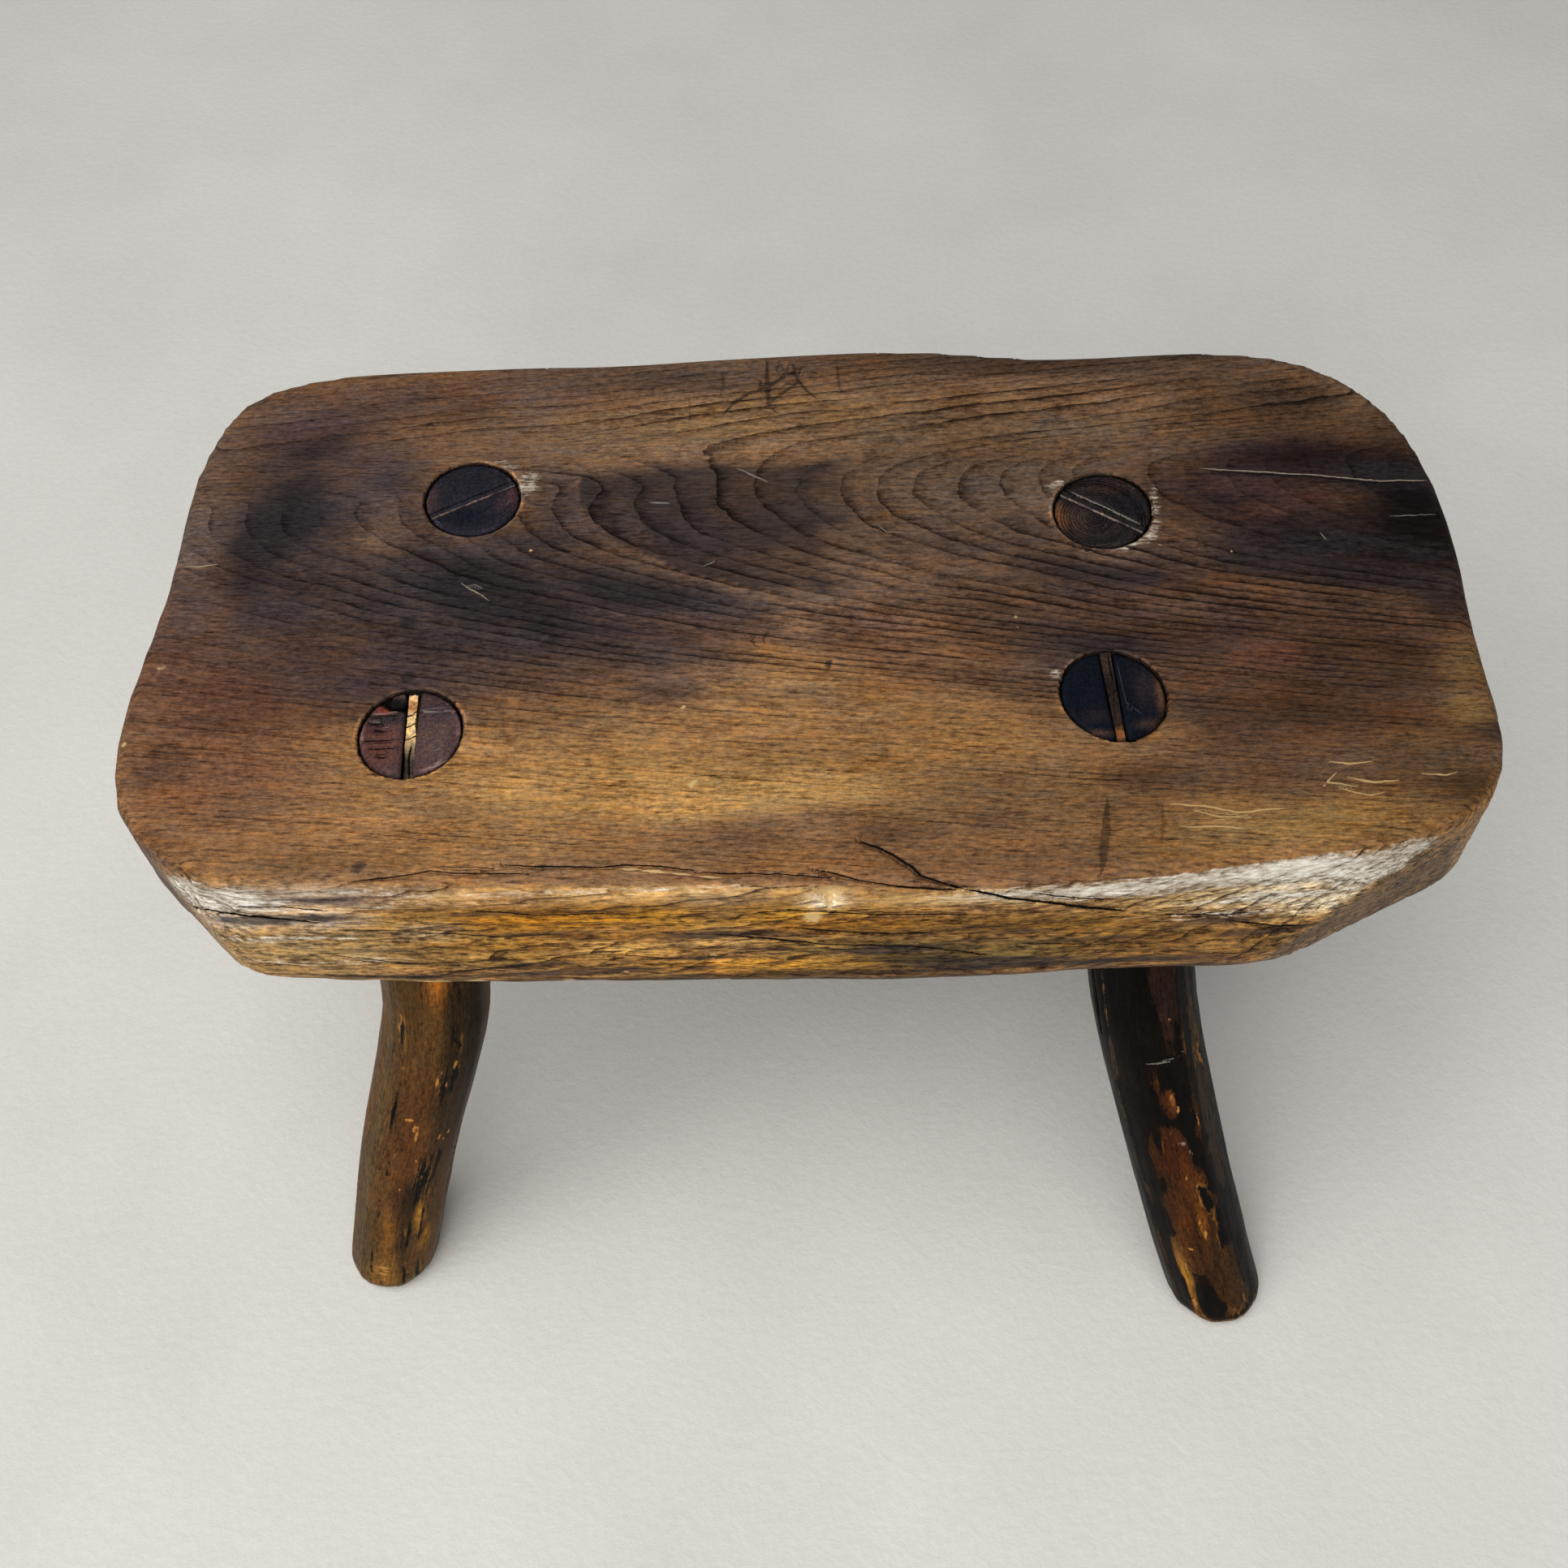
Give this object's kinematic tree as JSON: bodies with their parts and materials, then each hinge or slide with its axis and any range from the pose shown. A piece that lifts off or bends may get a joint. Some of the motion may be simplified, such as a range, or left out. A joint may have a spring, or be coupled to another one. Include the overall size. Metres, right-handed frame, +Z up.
{
  "type": "milking stool",
  "caption": "Low antique wooden milking stool: a thick plank seat with a waney front edge on splayed hewn legs, each tenoned through the seat and wedged from above.",
  "frame": {"origin": "on the floor, under the middle of the stool's bounding box", "axes": "+X along the seat's length, +Z up, the waney front edge faces -Y"},
  "size_m": [0.4324, 0.3044, 0.27],
  "materials": {
    "seat_wood": "worn satin wax over dark walnut-brown, near-black stains",
    "leg_wood": "dark oiled hewn wood, worn to orange-brown on the ridges",
    "wedge_wood": "dry split end grain, lighter than the tenons"
  },
  "bodies": {
    "root": {"seat": "seat_wood", "leg_front_left": "leg_wood", "leg_front_right": "leg_wood", "leg_back_left": "leg_wood", "leg_back_right": "leg_wood", "wedge_front_left": "wedge_wood", "wedge_front_right": "wedge_wood", "wedge_back_left": "wedge_wood", "wedge_back_right": "wedge_wood"}
  },
  "joints": []
}
